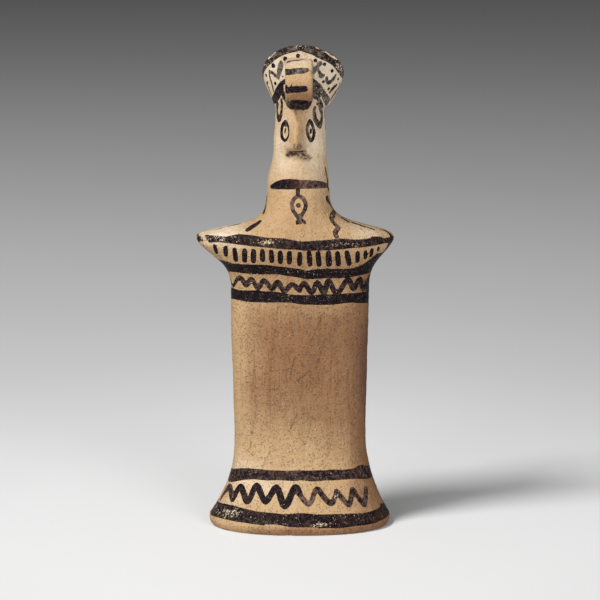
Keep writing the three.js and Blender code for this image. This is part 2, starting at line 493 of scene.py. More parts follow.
def band(top_pixels, bottom_pixels, seed, faded=0.0):
    """A painted band all round, between two edges."""
    top = edge_rows(top_pixels, BAND_STRAYS, seed)
    bottom = edge_rows(bottom_pixels, BAND_STRAYS, seed + 7)
    body.area(np.maximum(ROW - top, bottom - ROW) * ROW_SPACING, faded)


# Bands, each as pixels along its top edge and its bottom edge from left to right.
SHOULDER_BAND = (
    [(206, 234.6), (219, 236.2), (227, 236.6), (233, 234.8), (240, 233.7), (247, 234.4),
     (254, 236), (262, 237), (275, 238), (290, 239.5), (305, 241), (318, 240.8), (330, 239.8),
     (340, 238.4), (351, 239.4), (360, 239.4), (368.6, 238.5), (372, 236.6), (379, 236.2),
     (384, 238.2), (390, 236.6)],
    [(209, 242.3), (219, 242.3), (230, 243.4), (240, 244.8), (251, 246.6), (262, 247.2),
     (285, 249.4), (310, 251), (325, 250.4), (340, 249.4), (351, 248.7), (361, 248),
     (372, 246), (380, 244.4), (386, 243), (391.4, 243.4)],
)
BREAST_BAND = (
    [(226, 261), (230.5, 263), (243, 263.8), (252.3, 264.5), (261.4, 265), (270.5, 265.2),
     (279.5, 266.4), (288.6, 267.7), (297.7, 268.6), (305, 269.8), (316, 269.3), (325, 268.8),
     (334, 269.1), (343, 268.8), (352.3, 267.7), (358, 266.2), (364.3, 263.5), (371.4, 258.5),
     (377, 253.7)],
    [(227, 270.9), (235, 272), (243.2, 273.2), (256.8, 274.3), (270.5, 274.6), (279.5, 274.7),
     (284, 275.5), (293.2, 276.8), (302.3, 278.2), (311.4, 279), (325, 278.8), (334, 278.6),
     (347.7, 277.6), (355, 276.6), (363.6, 274.6), (370, 272.4)],
)
WAIST_BAND = (
    [(231.8, 287.9), (238.6, 289.8), (252.3, 290.5), (261.4, 290.9), (270.5, 291.2),
     (279.5, 292.7), (288.6, 294.1), (302.3, 295), (316, 295), (334, 294.3), (347.7, 293.2),
     (361.4, 292.3), (366.8, 291.4)],
    [(231.8, 299.5), (238.6, 300.5), (252.3, 301.8), (266, 302.7), (279.5, 302.4), (288.6, 302.7),
     (302.3, 304.1), (316, 305), (329.5, 305), (338.6, 304.1), (352.3, 303.2), (366.8, 301.8)],
)
SKIRT_BAND = (
    [(230.5, 466.8), (239, 468.2), (249.6, 468.2), (260.3, 468.9), (267.4, 470.2), (278, 470.7),
     (299.6, 470.5), (310, 470.7), (321, 469.8), (332, 470), (341.7, 469.8), (348, 468.6),
     (354, 468.2), (358, 465.7), (362, 464.6), (367.4, 465.6)],
    [(230, 481.9), (241.7, 480.8), (253, 479.8), (264, 480), (274.6, 480.6), (299.6, 480.4),
     (306.7, 481), (321, 481.4), (331.7, 481), (342.4, 479.8), (353, 479), (368, 479.2)],
)
FOOT_BAND = (
    [(219, 502.6), (226, 503.9), (234.6, 505.7), (244.6, 508.6), (256.7, 511.4), (267.4, 512.9),
     (281.7, 514.2), (296, 513.1), (310, 513.6), (321, 514.6), (331.7, 515.3), (342.4, 514.6),
     (353, 513.2), (367.4, 511.6), (374.6, 509.6), (380.3, 506)],
    [(211.5, 515.6), (219, 517.6), (228, 519.6), (239, 522), (249.6, 523.6), (258, 524.8),
     (263, 525.8), (267.4, 524.8), (278, 524.8), (289, 526.4), (300, 527.7), (321, 528.2),
     (331.7, 527.5), (342, 527.4), (353, 526.4), (364, 525.4), (374.6, 522.9), (382, 519.6),
     (387.6, 515.5)],
)
band(*SHOULDER_BAND, seed=1, faded=0.15)
band(*BREAST_BAND, seed=2)
band(*WAIST_BAND, seed=3)
band(*SKIRT_BAND, seed=4, faded=0.22)
band(*FOOT_BAND, seed=5, faded=0.08)

# The row of strokes between the shoulder band and the breast band: head, tail, width.
TONGUES = [
    ((214.6, 246), (216.4, 252.6), 4), ((225.7, 247.6), (225.5, 254.6), 4.4),
    ((234.6, 249.6), (235.7, 260), 4.5), ((244.6, 250.4), (244.6, 260.6), 4.6),
    ((253.6, 251), (253.3, 261), 4.7), ((262.4, 251), (262.6, 260), 4.5),
    ((271.2, 251.5), (271.8, 261), 4.3), ((280.2, 252.5), (280.5, 262), 4.4),
    ((289.4, 252.8), (289.4, 262.4), 4.4), ((299.8, 253.5), (299.5, 264), 4.2),
    ((309, 252.8), (310, 264.4), 4.4), ((318, 253), (319, 264.6), 4.6),
    ((328.4, 253), (329, 264.4), 5.2), ((337.4, 253), (338.5, 264), 4.6),
    ((346.8, 252.6), (349.2, 263.8), 4.7), ((357.7, 252.8), (357.5, 261), 4.2),
    ((365.4, 251.6), (365.6, 257.8), 3.6), ((372, 249.4), (371.2, 255.6), 3.4),
    ((378.6, 247.6), (378, 250.4), 2.8),
]
for head, tail, width in TONGUES:
    middle = ((head[0] + tail[0]) / 2, (head[1] + tail[1]) / 2)
    body.front_brush([head, middle, tail], [width * 0.92, width * 1.14, width])

# Strokes of the brush on the front, each as its pixels, its widths and how faded it is.
UPPER_ZIGZAG = [
    ([(228.4, 275), (230.4, 280), (233, 285.6)], [2.2, 2.6, 3], 0.2),
    ([(233.4, 286.2), (239.6, 277.4), (246, 285.2), (251.4, 279), (258, 288), (264, 280.4),
      (272, 288.6), (277.6, 282), (284.5, 291), (291.8, 284.4), (299.5, 290.4)],
     [2.6, 4.6, 4.6, 4.4, 4.6, 4.4, 4.6, 4.6, 4.8, 4.4, 4.6], 0.2),
    ([(299.5, 290.4), (304, 283.2), (311.8, 292.6), (317.3, 282.4), (324, 293), (328.6, 280.8),
      (336.8, 293.4), (347.7, 279.6), (353.6, 288.8), (359.5, 278.8), (363.4, 288.8),
      (368.6, 277)],
     [4.4, 4.4, 4.6, 4.6, 5, 5, 4.8, 5, 5, 4.8, 4.6, 4.2], 0.1),
]
LOWER_ZIGZAG = [
    ([(221, 498.2), (224.4, 492.4), (229.4, 487), (231.2, 494), (232.6, 499.6)],
     [5, 6, 7, 6.4, 5.6], 0.25),
    ([(232.6, 499.6), (240.6, 486.6), (247.4, 501.8), (256.7, 485.6), (265.5, 501.8),
      (276.4, 487.4), (284.8, 506.2), (294.6, 487.8), (299.5, 493)],
     [5.4, 6, 5.8, 5.8, 5.6, 6, 6.6, 6.4, 5.8], 0.05),
    ([(297, 489.4), (301.5, 497), (308.5, 504.2), (313, 498)], [5, 5, 5, 4.6], 0.6),
    ([(312, 500), (316.7, 489), (323, 496), (331, 503.8), (335, 497), (336.4, 491.4)],
     [4.4, 4.8, 5.4, 5, 4.4, 4.4], 0.3),
    ([(336.4, 491.4), (342, 498), (348.9, 505), (351.4, 496), (352.6, 489.4), (358, 497),
      (364.2, 505), (365.6, 496), (366, 488.4)],
     [4.8, 5, 4.8, 5, 4.8, 4.8, 4.6, 5, 4.6], 0.35),
]
COLLAR_STROKES = [
    ([(271.4, 186.8), (276, 185.6), (283, 184.4), (291, 184.2), (299, 184.4)],
     [3.6, 6.8, 9.2, 9.8, 8.4], 0),
    ([(298, 184.4), (303, 184.4)], [8.4, 8.2], 0.3),
    ([(303, 184.4), (307, 184.4), (315, 184.6), (322, 184.8), (327.4, 185.8)],
     [8.2, 8.2, 7.4, 6.4, 3.6], 0.5),
    ([(297.8, 187), (298, 195)], 3.8, 0.2),
    ([(298, 196.2), (294, 199), (291.9, 204), (292.8, 209.5), (295.5, 214), (299, 218.5)],
     [3.4, 3.4, 3.5, 3.5, 3.2, 3.2], 0.42),
    ([(298.2, 196.2), (303, 198.4), (305.6, 204), (305.2, 208.5), (303, 213), (299.8, 218)],
     [3.4, 3.5, 3.5, 3.4, 3.3, 3.2], 0.42),
    ([(298.3, 205.3)], 4.4, 0.35),
    ([(299.4, 216), (299.6, 221)], [4.6, 6], 0.4),
    ([(299, 219), (297.4, 222.8)], [3.6, 3.2], 0.35),
    ([(300.4, 219), (304.8, 222.8)], [3.6, 2.6], 0.35),
]
EYE_STROKES = [
    ([(285, 122.4), (282.6, 125.4), (281.6, 131), (282, 137), (284.6, 140.6)],
     [3.8, 3.8, 3.7, 3.6, 3], 0),
    ([(286, 122.4), (288, 126), (288.8, 131), (288.4, 136), (286, 140)],
     [3, 2.3, 1.8, 2.1, 2.6], 0.1),
    ([(285.4, 122.4), (285.6, 124.8)], [5, 3.8], 0.4),
    ([(285.5, 129), (285, 132.2)], [1.8, 2.1], 0),
    ([(310, 121.2), (307.8, 125), (307.1, 130), (308.4, 136.4), (311.2, 140.8), (313.6, 136.4),
      (313.9, 131), (312.4, 125), (310, 121.2)],
     [4.2, 3, 2.9, 3, 3.2, 3.1, 2.9, 2.9, 4.2], 0.25),
    ([(313.8, 135.4), (315.2, 132.6)], [1.6, 1.1], 0.2),
    ([(310.6, 129.8), (310.5, 132.4)], [2, 2.3], 0),
]
EAR_STROKES = [
    ([(277.4, 103.4), (277.2, 109), (277.4, 114), (278.8, 119), (280.6, 116), (281.6, 110.6),
      (281.8, 105), (281.4, 99.6)], [4, 4.4, 5, 6, 4.4, 3, 2.6, 2.4], 0.2),
    ([(314.9, 107.6), (314.3, 113), (315.4, 119.4), (318.4, 124), (320.2, 125.6)],
     [2.8, 3.8, 4.8, 5.8, 5.6], 0.4),
    ([(320.4, 125.4), (321.4, 121.4), (321.8, 113), (321, 106), (319, 101.6)],
     [5, 4.6, 5, 5.6, 5.4], 0.5),
    ([(317.5, 103.8)], 2.6, 0),
]
LOCK_STROKES = [
    ([(325.3, 168), (326.4, 174), (327.4, 180), (327.8, 187), (329.2, 192), (330, 197)],
     [1.8, 2.4, 2.6, 2.8, 2.6, 3.2], 0.2),
    ([(327.4, 198.8), (329.8, 203), (332.4, 208), (335, 212)], [6.4, 3.8, 3.8, 3.2], 0.5),
    ([(334.6, 211), (332.4, 215.4), (331.6, 219.8), (335, 224), (338, 228), (335.2, 232),
      (336.3, 236)], [3.2, 6, 4.8, 4.6, 4.8, 4.4, 4.4], 0.5),
    ([(336, 233.8), (336.6, 236.4)], [3.6, 4], 0.1),
    ([(266.8, 196), (266.4, 201.6)], [2.8, 3.2], 0.4),
    ([(265.6, 205.6), (263.8, 212)], [3.6, 4.8], 0.3),
    ([(259.3, 221.8), (253.2, 226), (248.6, 229.6)], [5, 6.8, 6], 0.05),
    ([(228.5, 226.4), (234, 225), (240, 223.8)], [2.6, 3.4, 2.6], 0.3),
    ([(216, 229.4), (222, 228)], [1.8, 2.2], 0.3),
    ([(342, 217.8), (345.4, 219.8), (349, 222.2)], [3, 3.6, 3], 0.6),
    ([(352.6, 222.8), (360, 225)], 3.4, 0.2),
    ([(361.6, 226), (366.4, 227)], 3, 0.1), ([(369.6, 228), (374, 229.4)], 2.6, 0.2),
    ([(380, 229.4), (385.7, 231), (390, 234), (392, 238.6), (391.6, 243.4)],
     [2, 2.6, 3, 3.4, 3.4], 0),
    ([(197.8, 235), (198.8, 239)], [4, 6], 0),
]
POLOS_STROKES = [
    ([(281, 63), (280.6, 66), (279.4, 71), (278.6, 76.4)], [4, 5.6, 5, 3.4], 0.85),
    ([(269.6, 71.2), (273.2, 73.4), (275.6, 76), (278.4, 77.8)], [2.6, 3, 3.2, 3.2], 0.6),
    ([(269.4, 71.4), (269.6, 76), (271, 81), (272.4, 86), (273.4, 91)], [2.4, 1.8, 1.8, 2, 1.4], 0.45),
    ([(266.8, 83), (269, 89), (271.6, 95)], [2.2, 2.6, 1.2], 0.2),
    ([(320, 63.6), (317.6, 66.4), (314.6, 69.6), (313.8, 72.6)], [4.4, 3.4, 4, 3], 0.85),
    ([(317.6, 68.8), (319.6, 72.6), (321.4, 76.2), (324, 75)], [2.6, 3, 4.4, 2], 0.7),
    ([(326.6, 77.6), (328.2, 83), (333.4, 78.8), (335.8, 75)], [2.6, 3.4, 3.2, 1.8], 0.55),
    ([(336.4, 85), (332.8, 88.6), (329.8, 92.4)], [2.6, 3.2, 2.2], 0.3),
    ([(340.4, 84.4), (335.6, 92), (330.4, 100)], [1.8, 2.6, 1.4], 0.2),
    ([(273.2, 65.6)], 4.6, 0), ([(285.2, 58.7)], 4.2, 0), ([(297.9, 55.8)], 3.8, 0.3),
    ([(315.4, 60.4)], 3.4, 0.1), ([(324.6, 64.3)], 3.4, 0.3), ([(332.1, 70.9)], 3.4, 0),
    ([(338.2, 79)], 2.6, 0), ([(339.6, 83.6)], 2, 0), ([(266.2, 75.4)], 3.4, 0),
    ([(267.4, 82.6)], 2.8, 0.1), ([(275.2, 83.4)], 3.2, 0), ([(323.5, 81.8)], 2.6, 0.1),
    ([(328.6, 88.8)], 2.8, 0.1), ([(282.7, 76.4)], 1.4, 0.2),
]
SIDE_STROKES = [
    ([(381, 504.6), (385, 507), (387.4, 511.6)], [3, 5, 4], 0.1),
    ([(216.6, 503.4), (213, 509)], [2, 3], 0.4),
]
for strokes in (UPPER_ZIGZAG, LOWER_ZIGZAG, COLLAR_STROKES, EYE_STROKES, EAR_STROKES,
                LOCK_STROKES, POLOS_STROKES, SIDE_STROKES):
    for pixels, widths, faded in strokes:
        body.front_brush(pixels, widths, faded)

# Painted areas, each as an outline and how faded it is: the hair to the left and to the right of
# the roll, and the foot of the roll's own paint, where it runs down over the face.
AREAS = [
    ([(287, 78), (283.8, 79.2), (279.9, 82), (277.1, 85.9), (274.9, 89.8), (273.6, 93.7),
      (271.5, 98), (271.5, 104), (276.2, 103.6), (277.6, 101.5), (279.6, 98.5), (281.3, 95),
      (282.8, 98.5), (284.6, 101.5), (287, 103.8)], 0.12),
    ([(312.5, 78), (317.1, 80.9), (321, 84.8), (324.3, 89.8), (327.7, 94.8), (330, 98),
      (329, 102), (326.4, 106.6), (324.8, 104.4), (323, 100), (320.8, 96.4), (319.9, 97.4),
      (321, 103), (318.6, 102.4), (316.2, 101), (312.5, 97)], 0.4),
    ([(288.6, 100), (311.6, 100), (310.6, 105), (307, 107.4), (303.4, 110.8), (300, 109.4),
      (296.6, 109.6), (293.6, 107.6), (290.4, 108)], 0.1),
]
for outline, faded in AREAS:
    body.front_area(outline, faded)

# The band along the rim of the headdress: wide in front, narrow behind.
RIM_BAND_EDGE = [
    (263.4, 79), (264.3, 75.3), (266, 69.8), (270.4, 64.2), (276, 59.2), (281.6, 56), (287, 53.6),
    (292.7, 52.2), (300.4, 51.4), (306, 52.8), (311.6, 54.4), (316, 57), (321.6, 59.8),
    (328.2, 62.6), (333.8, 67), (338.2, 73), (341, 77.6),
]
RIM_BAND_BEHIND = 1.5
RIM_STRAYS = 0.6
RIM_FRONT = dict(start=0.27, soft=0.06)
turned = np.abs(COLUMN / COLUMNS - 0.5)
in_front = smooth(clamp01((turned - RIM_FRONT["start"]) / RIM_FRONT["soft"]))
rim_lower = (edge_rows(RIM_BAND_EDGE, RIM_STRAYS, 6) - ROW) * ROW_SPACING
rim_behind = (RIM_ROW - ROW) * ROW_SPACING - RIM_BAND_BEHIND
rim_upper = (ROW - RIM_ROW - 1) * ROW_SPACING
body.area(np.maximum(mix(rim_lower, rim_behind, in_front), rim_upper), 0.3)

# A line of paint down each side edge of the figure, below the shoulders.
SIDE_LINES = [
    dict(side=-1, top=116.5, bottom=104, width=3.4, forward=0.6),
    dict(side=1, top=119, bottom=94, width=4.6, forward=1.4),
]
for line in SIDE_LINES:
    places = []
    for row in range(FIRST_ROW["body"], FIRST_ROW["shoulder"] + 10, 4):
        column = int(np.argmax(GRID[row, :, 0] * line["side"]))
        if line["bottom"] < GRID[row, column, 2] < line["top"]:
            ahead = line["forward"] / COLUMN_SPACING[row, column]
            places.append(body.at(row, column - ahead * line["side"]))
    body.brush(places, line["width"], 0.1)

# Behind, the hair covers the head and falls in wavy locks; the photograph doesn't show it.
HAIR_LOW = FIRST_ROW["face"] + 24
HAIR_HIGH = FIRST_ROW["polos"] + 10
HAIR_SIDES = 0.205
LOCKS_END = FIRST_ROW["shoulder"] + 28
LOCKS = dict(count=5, apart=0.06, top=3, end=1.9, wave=0.011, steps=28, bends=7)
turned = np.minimum(COLUMN, COLUMNS - COLUMN)
hair_gap = np.maximum((HAIR_LOW - ROW) * ROW_SPACING, (ROW - HAIR_HIGH) * ROW_SPACING)
side_gap = (turned - HAIR_SIDES * COLUMNS) * COLUMN_SPACING
body.area(np.maximum(hair_gap, side_gap), 0.15)
for lock in range(LOCKS["count"]):
    turn = (lock - (LOCKS["count"] - 1) / 2) * LOCKS["apart"]
    places = []
    widths = []
    for step in range(LOCKS["steps"]):
        share = step / (LOCKS["steps"] - 1)
        row = mix(HAIR_LOW + 3, LOCKS_END, share)
        wave = LOCKS["wave"] * math.sin(share * LOCKS["bends"] * 2 * math.pi + lock)
        places.append(body.at(row, (turn + wave) * COLUMNS))
        widths.append(mix(LOCKS["top"], LOCKS["end"], share))
    body.brush(places, widths, 0.2)

# Places with no paint, as pixels and widths: a light line in the hair on each side of the roll, and
# spots where the paint has flaked off.
BARE = [
    ([(284.3, 85), (284.6, 91.6)], 1.3), ([(315.6, 99.4), (317.4, 102)], 0.9),
    ([(307, 268.4), (308.6, 269)], 3), ([(321, 268.2), (325, 267.8)], 2),
    ([(288.2, 272.4)], 1.8), ([(283, 270.4)], 1.2), ([(288.2, 295.8)], 1.6), ([(260.8, 242)], 1.5),
    ([(266.8, 239.8)], 1.2), ([(268.4, 242.8)], 1.7), ([(273.4, 244)], 1.5), ([(332, 215.8)], 1.8),
    ([(211, 239)], 1.7), ([(199, 232.4), (203, 236), (206, 241.4), (210, 244.8)], [2, 4.4, 4.6, 2.4]),
    ([(384, 234), (388.4, 236.4)], [3, 3.6]), ([(367, 244.2)], 1.6), ([(251, 517)], 1.6),
    ([(268.2, 58.8), (272, 54.2), (275.4, 51.2)], [1.4, 2.2, 1.2]),
    ([(316, 46.8), (323, 50.2), (331, 55.6), (337, 59.6)], [1.2, 2.2, 2.2, 1.4]),
    ([(214.4, 511), (217.4, 504.6)], [2.4, 2]), ([(304, 519.4)], 1.2), ([(299, 482.6)], 0.8),
]
for pixels, widths in BARE:
    body.bare(pixels, widths)

# Zones of fine flaking: a pixel, a reach in pixels and an amount. The zone on the crest of the rim is
# glints painted as flaking.
WORN_AND_GLINTS = [
    ((230, 512.6), (12, 6), 0.8), ((320.5, 525), (13, 3), 0.7), ((272, 523.5), (18, 3), 0.5),
    ((268, 241.6), (9, 3.4), 0.8), ((310, 272), (26, 5), 0.15), ((335, 497), (3, 5), 0.8),
    # The middle entry here, along the crest of the rim, is glints painted as flaking.
    ((222, 238), (14, 4), 0.6), ((300, 45.6), (22, 1.8), 0.7), ((339, 68), (5, 9), 0.7),
    ((268, 66), (4, 10), 0.4), ((350, 516), (30, 6), 0.2), ((300, 300), (60, 6), 0.08),
    ((226, 475), (6, 10), 0.4), ((322, 95), (9, 12), 0.4), ((200, 238), (8, 6), 0.5),
    ((345, 244), (20, 4), 0.4), ((264, 245), (3, 3), 0.5), ((300, 476), (60, 6), 0.1),
]
for pixel, reach, amount in WORN_AND_GLINTS:
    body.wear_and_glint(pixel, reach, amount)

# Stains, creases and cracks in the clay, and painted shadow under the nose and round the roll, as
# pixels, widths, strength and softness.
SMEARS_AND_SHADOWS = [
    # The first three are painted shadow under the nose.
    ([(288.4, 155), (293, 152.6), (298, 151.8), (303, 152.8)], [1.5, 3.6, 4, 3], 1.5, 4),
    ([(299, 154.6), (303.6, 156.6), (308, 157.6)], [1.5, 2.4, 1.6], 1, 4.6),
    ([(295.6, 146.4), (301, 147.4)], 3, 0.8, 3.8),
    ([(295.4, 110.6), (296.4, 116), (297.4, 121)], 0.8, 0.5, 1.6),
    ([(277.4, 306), (276.6, 320), (273, 345), (270.4, 372)], 0.2, 0.54, 1.1),
    ([(270, 376), (269.6, 400), (271, 424)], 0.2, 0.4, 1.4),
    ([(295, 358), (292.6, 366), (290.4, 378)], 0.3, 0.72, 1.2),
    ([(257, 404), (254.6, 420), (251.6, 436), (250.6, 447)], 0.2, 0.76, 1),
    ([(271, 450), (267, 458), (262.6, 466)], 0.2, 0.65, 1),
    ([(254, 362), (253.4, 384)], 0.3, 0.45, 1.2),
    ([(297.6, 414), (293.4, 422), (289.6, 431)], 0.3, 0.65, 1.3),
    ([(326.6, 307), (317, 328), (305, 356)], 0.25, 0.54, 1.3),
    ([(309.6, 371), (303, 376.5), (296.4, 381)], 0.3, 0.9, 1.2),
    ([(325, 339), (320.6, 354), (316.6, 368)], 0.25, 0.61, 1.3),
    ([(313, 417), (308.6, 432), (304.6, 446)], 0.3, 0.45, 1.2),
    ([(330.6, 443), (329.4, 450), (327, 458)], 0.4, 0.42, 1.2),
    ([(320, 336), (316, 356), (311, 376)], 0.8, 0.2, 4),
    ([(300, 392), (310, 384), (322, 372)], 1.4, 0.2, 7),
    ([(336, 322), (330, 340), (322, 352)], 1, 0.2, 6),
    ([(343, 400), (341, 420), (343, 440)], 0.4, 0.25, 1.6),
    ([(286.4, 61.6), (291, 60.2)], [1.6, 1.8], 1.4, 1.2),
    # Painted shadow below the left end of the roll and down its right side.
    ([(288, 100.6), (288.6, 105)], 2.4, 0.7, 2.4), ([(313, 66), (313.2, 98)], 0.9, 0.8, 1.8),
    ([(362, 284), (365.4, 285.4)], [7, 9], 0.9, 4), ([(353.6, 283), (357, 287)], 3, 0.45, 4),
]
for pixels, widths, amount, soft in SMEARS_AND_SHADOWS:
    body.smear_and_shadow(pixels, widths, amount, soft)

# Colour of the clay by place: centre, reach and how brown, in millimetres. The browner places down the
# right side of the body and of the foot, and along the bottom edge where the foot meets the floor, are
# painted shade.
CLAY_TONES_AND_SHADING = [
    ((2, 0, 62), (60, 30, 36), 1.05), ((28, -8, 64), (8, 30, 46), 0.9),
    ((33, -8, 64), (6, 30, 36), 0.9), ((2, -8, 84), (22, 20, 10), 0.3),
    ((-27, -4, 62), (7, 14, 38), -0.7), ((-14, -12, 24), (26, 14, 20), -0.6),
    ((0, 0, 1.5), (60, 40, 2.8), 1.5), ((-30, -8, 2), (14, 20, 3), -0.7),
    ((3, -8, 72), (7, 10, 10), 0.6), ((15, -8, 79), (9, 10, 10), 0.45),
    ((33, -8, 14), (12, 24, 16), 0.4),
    ((0, 0, 108), (60, 30, 8), 0.45), ((0, -12, 124), (22, 14, 10), 0.3),
    ((-30, -4, 122), (16, 14, 7), -0.8), ((28, -4, 122), (15, 14, 7), -0.72),
    ((1, -4, 158), (19, 14, 16), -0.6), ((-1.5, -16, 166), (3.4, 8, 9), 0.35),
    ((4, 0, 190), (32, 26, 12), -0.85), ((10, 0, 172), (10, 16, 14), -0.3),
]
for centre, reach, amount in CLAY_TONES_AND_SHADING:
    body.tint_and_shading(centre, reach, amount)


# The rolled strip: rings across the figure round an egg-shaped roll, with a groove in each end.
GROOVE = dict(laps=2, outer=0.78, inward=0.3, inner=0.12)
ROLL_TAPER = dict(start=0.6, share=0.24)
ROLL_RINGS = dict(around=104, end=20, bend=6, across=24)


def roll_loop(angle, share, x):
    y = -(VOLUTE["front"] + np.cos(angle) * VOLUTE["half_depth"] * share)
    z = VOLUTE["height"] + np.sin(angle) * VOLUTE["half_height"] * share
    low = smooth(clamp01((-np.sin(angle) * share - ROLL_TAPER["start"]) / (1 - ROLL_TAPER["start"])))
    return np.stack([x * (1 - ROLL_TAPER["share"] * low), y, z], axis=1)


def groove_depth(angle, share):
    """How deep the spiral groove is at a share of the way out from the middle of an end."""
    turn = angle / (2 * math.pi)
    width = VOLUTE["groove_width"] / VOLUTE["half_height"] / 2
    depth = np.zeros(len(angle))
    for lap in range(GROOVE["laps"]):
        reach = GROOVE["outer"] - GROOVE["inward"] * (turn + lap)
        cut = np.exp(-(((share - reach) / width) ** 2)) * (reach > GROOVE["inner"])
        depth = np.maximum(depth, cut)
    return VOLUTE["groove"] * depth


def roll_grid():
    angle = np.arange(ROLL_RINGS["around"]) / ROLL_RINGS["around"] * 2 * math.pi
    half = VOLUTE["width"] / 2
    edge = VOLUTE["edge"]
    edge_share = edge / VOLUTE["half_height"]
    end_loops = []
    for i in range(1, ROLL_RINGS["end"]):
        share = i / ROLL_RINGS["end"] * (1 - edge_share)
        made = roll_loop(angle, share, -half)
        made[:, 0] += groove_depth(angle, share)
        end_loops.append(made)
    for i in range(ROLL_RINGS["bend"] + 1):
        bend = i / ROLL_RINGS["bend"] * math.pi / 2
        share = 1 - edge_share * (1 - math.sin(bend))
        end_loops.append(roll_loop(angle, share, -half + edge * (1 - math.cos(bend))))
    middle_loops = []
    for i in range(1, ROLL_RINGS["across"]):
        middle_loops.append(roll_loop(angle, 1, mix(edge - half, half - edge, i / ROLL_RINGS["across"])))
    other_end = [made * (-1, 1, 1) for made in reversed(end_loops)]
    grid = np.stack(end_loops + middle_loops + other_end)
    grid[..., 0] += VOLUTE["across"]
    return grid


ROLL_UNEVEN = [(0.2, 7, 31.0), (0.1, (9, 2.5, 2.5), 37.0), (0.09, 1.4, 43.0)]
ROLL_GRID = roll_grid()
ROLL_GRID = uneven(ROLL_GRID, -normals_of(ROLL_GRID), ROLL_UNEVEN)
roll = Skin(ROLL_GRID, -normals_of(ROLL_GRID))

ROLL_STROKES = [
    ([(285, 72.4), (288.6, 72), (292.6, 71.4)], [5.6, 6, 5.4], 0.2),
    ([(292.6, 71.4), (298, 70.8), (303, 70.6), (307, 70)], [6, 5.8, 6, 4.4], 0.55),
    ([(286, 86), (286.4, 90.4), (289, 91)], [2.4, 4.6, 4.6], 0.0),
    ([(288.6, 90), (294, 89.6), (300, 89.2), (305, 88.8)], [5.4, 6, 6, 5.4], 0.0),
    ([(291, 87), (291.6, 84.8)], [1.4, 1.0], 0.1),
    ([(287.4, 62.2), (292, 60.8), (299, 60.2), (306, 58.8)], [2, 1.7, 1.8, 1.3], 0.2),
    ([(286.8, 101), (289.4, 105)], [3.2, 3.2], 0.6),
]
ROLL_FOOT = [
    (289.8, 101.6), (292, 99.8), (300, 99.8), (306, 100.4), (309, 101.4), (314, 100.4), (314, 114),
    (285, 114), (285, 106), (288.4, 105),
]
for pixels, widths, faded in ROLL_STROKES:
    roll.front_brush(pixels, widths, faded)
roll.front_area(ROLL_FOOT, 0.1)
# The roll's clay is browner at the bottom and paler at the top: painted shade under the roll and painted
# light on its top.
ROLL_LIGHT_AND_SHADE = [
    ((0, -20, 175.5), (9, 14, 6), 1.9), ((0, -24, 184), (9, 8, 5), 0.2),
    ((0, -20, 193), (9, 14, 5), -0.4),
]
for centre, reach, amount in ROLL_LIGHT_AND_SHADE:
    roll.tint_and_shading(centre, reach, amount)


def add_object(name, data):
    made = bpy.data.objects.new(name, data)
    bpy.context.scene.collection.objects.link(made)
    return made


def closed_mesh(name, grid, flip=False):
    """A mesh over a grid of rings, closed by a fan at each end."""
    middles = [grid[0].mean(axis=0), grid[-1].mean(axis=0)]
    points = np.concatenate([grid.reshape(-1, 3), middles])
    here = np.arange(len(points) - 2).reshape(grid.shape[:2])
    after = np.roll(here, -1, axis=1)
    quads = np.stack([here[:-1], after[:-1], after[1:], here[1:]], axis=2)
    faces = quads.reshape(-1, 4).tolist()
    faces += [(len(points) - 2, j, i) for i, j in zip(here[0].tolist(), after[0].tolist())]
    faces += [(len(points) - 1, i, j) for i, j in zip(here[-1].tolist(), after[-1].tolist())]
    if flip:
        faces = [face[::-1] for face in faces]
    mesh = bpy.data.meshes.new(name)
    mesh.from_pydata((points * MM).tolist(), [], faces)
    mesh.update()
    return add_object(name, mesh)


def united(base, added):
    """One closed skin of two overlapping ones."""
    join = base.modifiers.new("join", "BOOLEAN")
    join.operation = "UNION"
    join.solver = "EXACT"
    join.object = added
    bpy.context.view_layer.update()
    evaluated = base.evaluated_get(bpy.context.evaluated_depsgraph_get())
    mesh = bpy.data.meshes.new_from_object(evaluated)
    base.modifiers.clear()
    base.data = mesh
    bpy.data.objects.remove(added)
    return base


figurine = united(closed_mesh("figurine", GRID), closed_mesh("roll", ROLL_GRID, flip=True))
for polygon in figurine.data.polygons:
    polygon.use_smooth = True

# Each vertex of the joined skin takes its paint from the nearest point of the two surfaces.
sources = np.concatenate([body.points, roll.points])
tree = kdtree.KDTree(len(sources))
for i, place in enumerate(sources.tolist()):
    tree.insert(place, i)
tree.balance()
nearest = np.array([tree.find(vertex.co / MM)[1] for vertex in figurine.data.vertices])
for name in ("paint", "faded", "worn", "tone", "stain_and_shadow"):
    values = np.concatenate([getattr(body, name), getattr(roll, name)])
    attribute = figurine.data.attributes.new(name, "FLOAT", "POINT")
    attribute.data.foreach_set("value", values[nearest].astype(np.float32))


# Materials, all from nodes.

